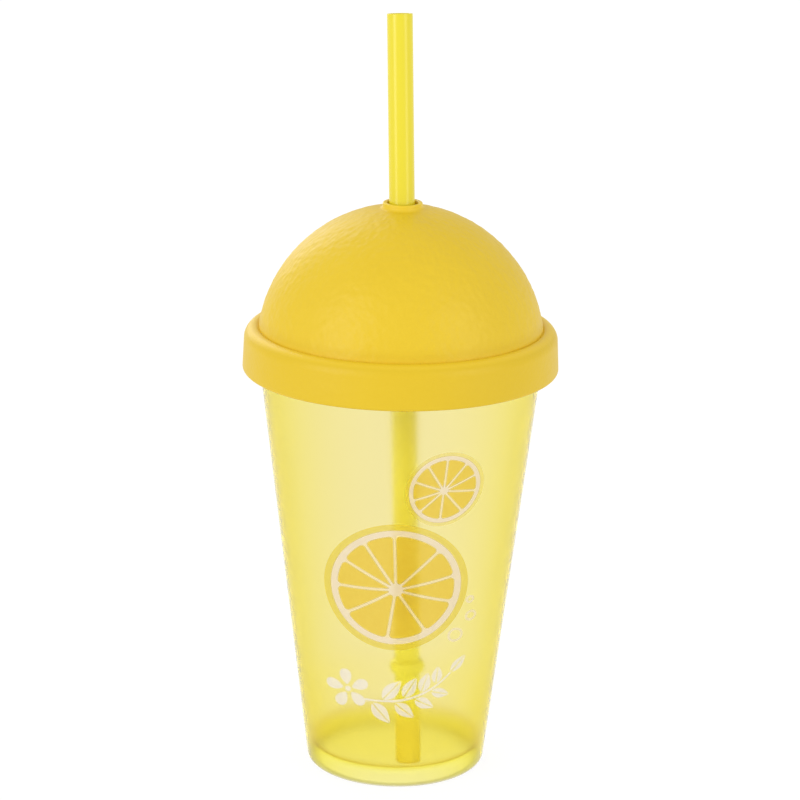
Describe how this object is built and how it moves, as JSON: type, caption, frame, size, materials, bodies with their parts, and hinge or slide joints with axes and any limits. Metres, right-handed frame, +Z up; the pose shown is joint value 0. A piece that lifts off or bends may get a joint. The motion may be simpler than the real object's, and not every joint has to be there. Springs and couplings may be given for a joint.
{
  "type": "drinking tumbler with dome lid and straw",
  "caption": "Flared see-through yellow plastic tumbler with a dome lid, a wide collar and a leaning straw with a stopper ring; it holds a cold drink.",
  "frame": {"origin": "centre of the foot ring, on the surface that the cup stands on", "axes": "+Z up along the cup's axis, -Y towards the side with the print, +X to the right of the print as seen from the front"},
  "size_m": [0.1022, 0.1022, 0.2494],
  "materials": {
    "cup": "see-through tinted, polished",
    "lid": "satin, fine peel texture on the dome",
    "straw": "smooth, semi-gloss",
    "print_white": "screen-printed ink",
    "print_yellow": "screen-printed ink"
  },
  "bodies": {
    "root": {"cup": "cup", "lid": "lid", "straw": "straw"}
  },
  "joints": []
}
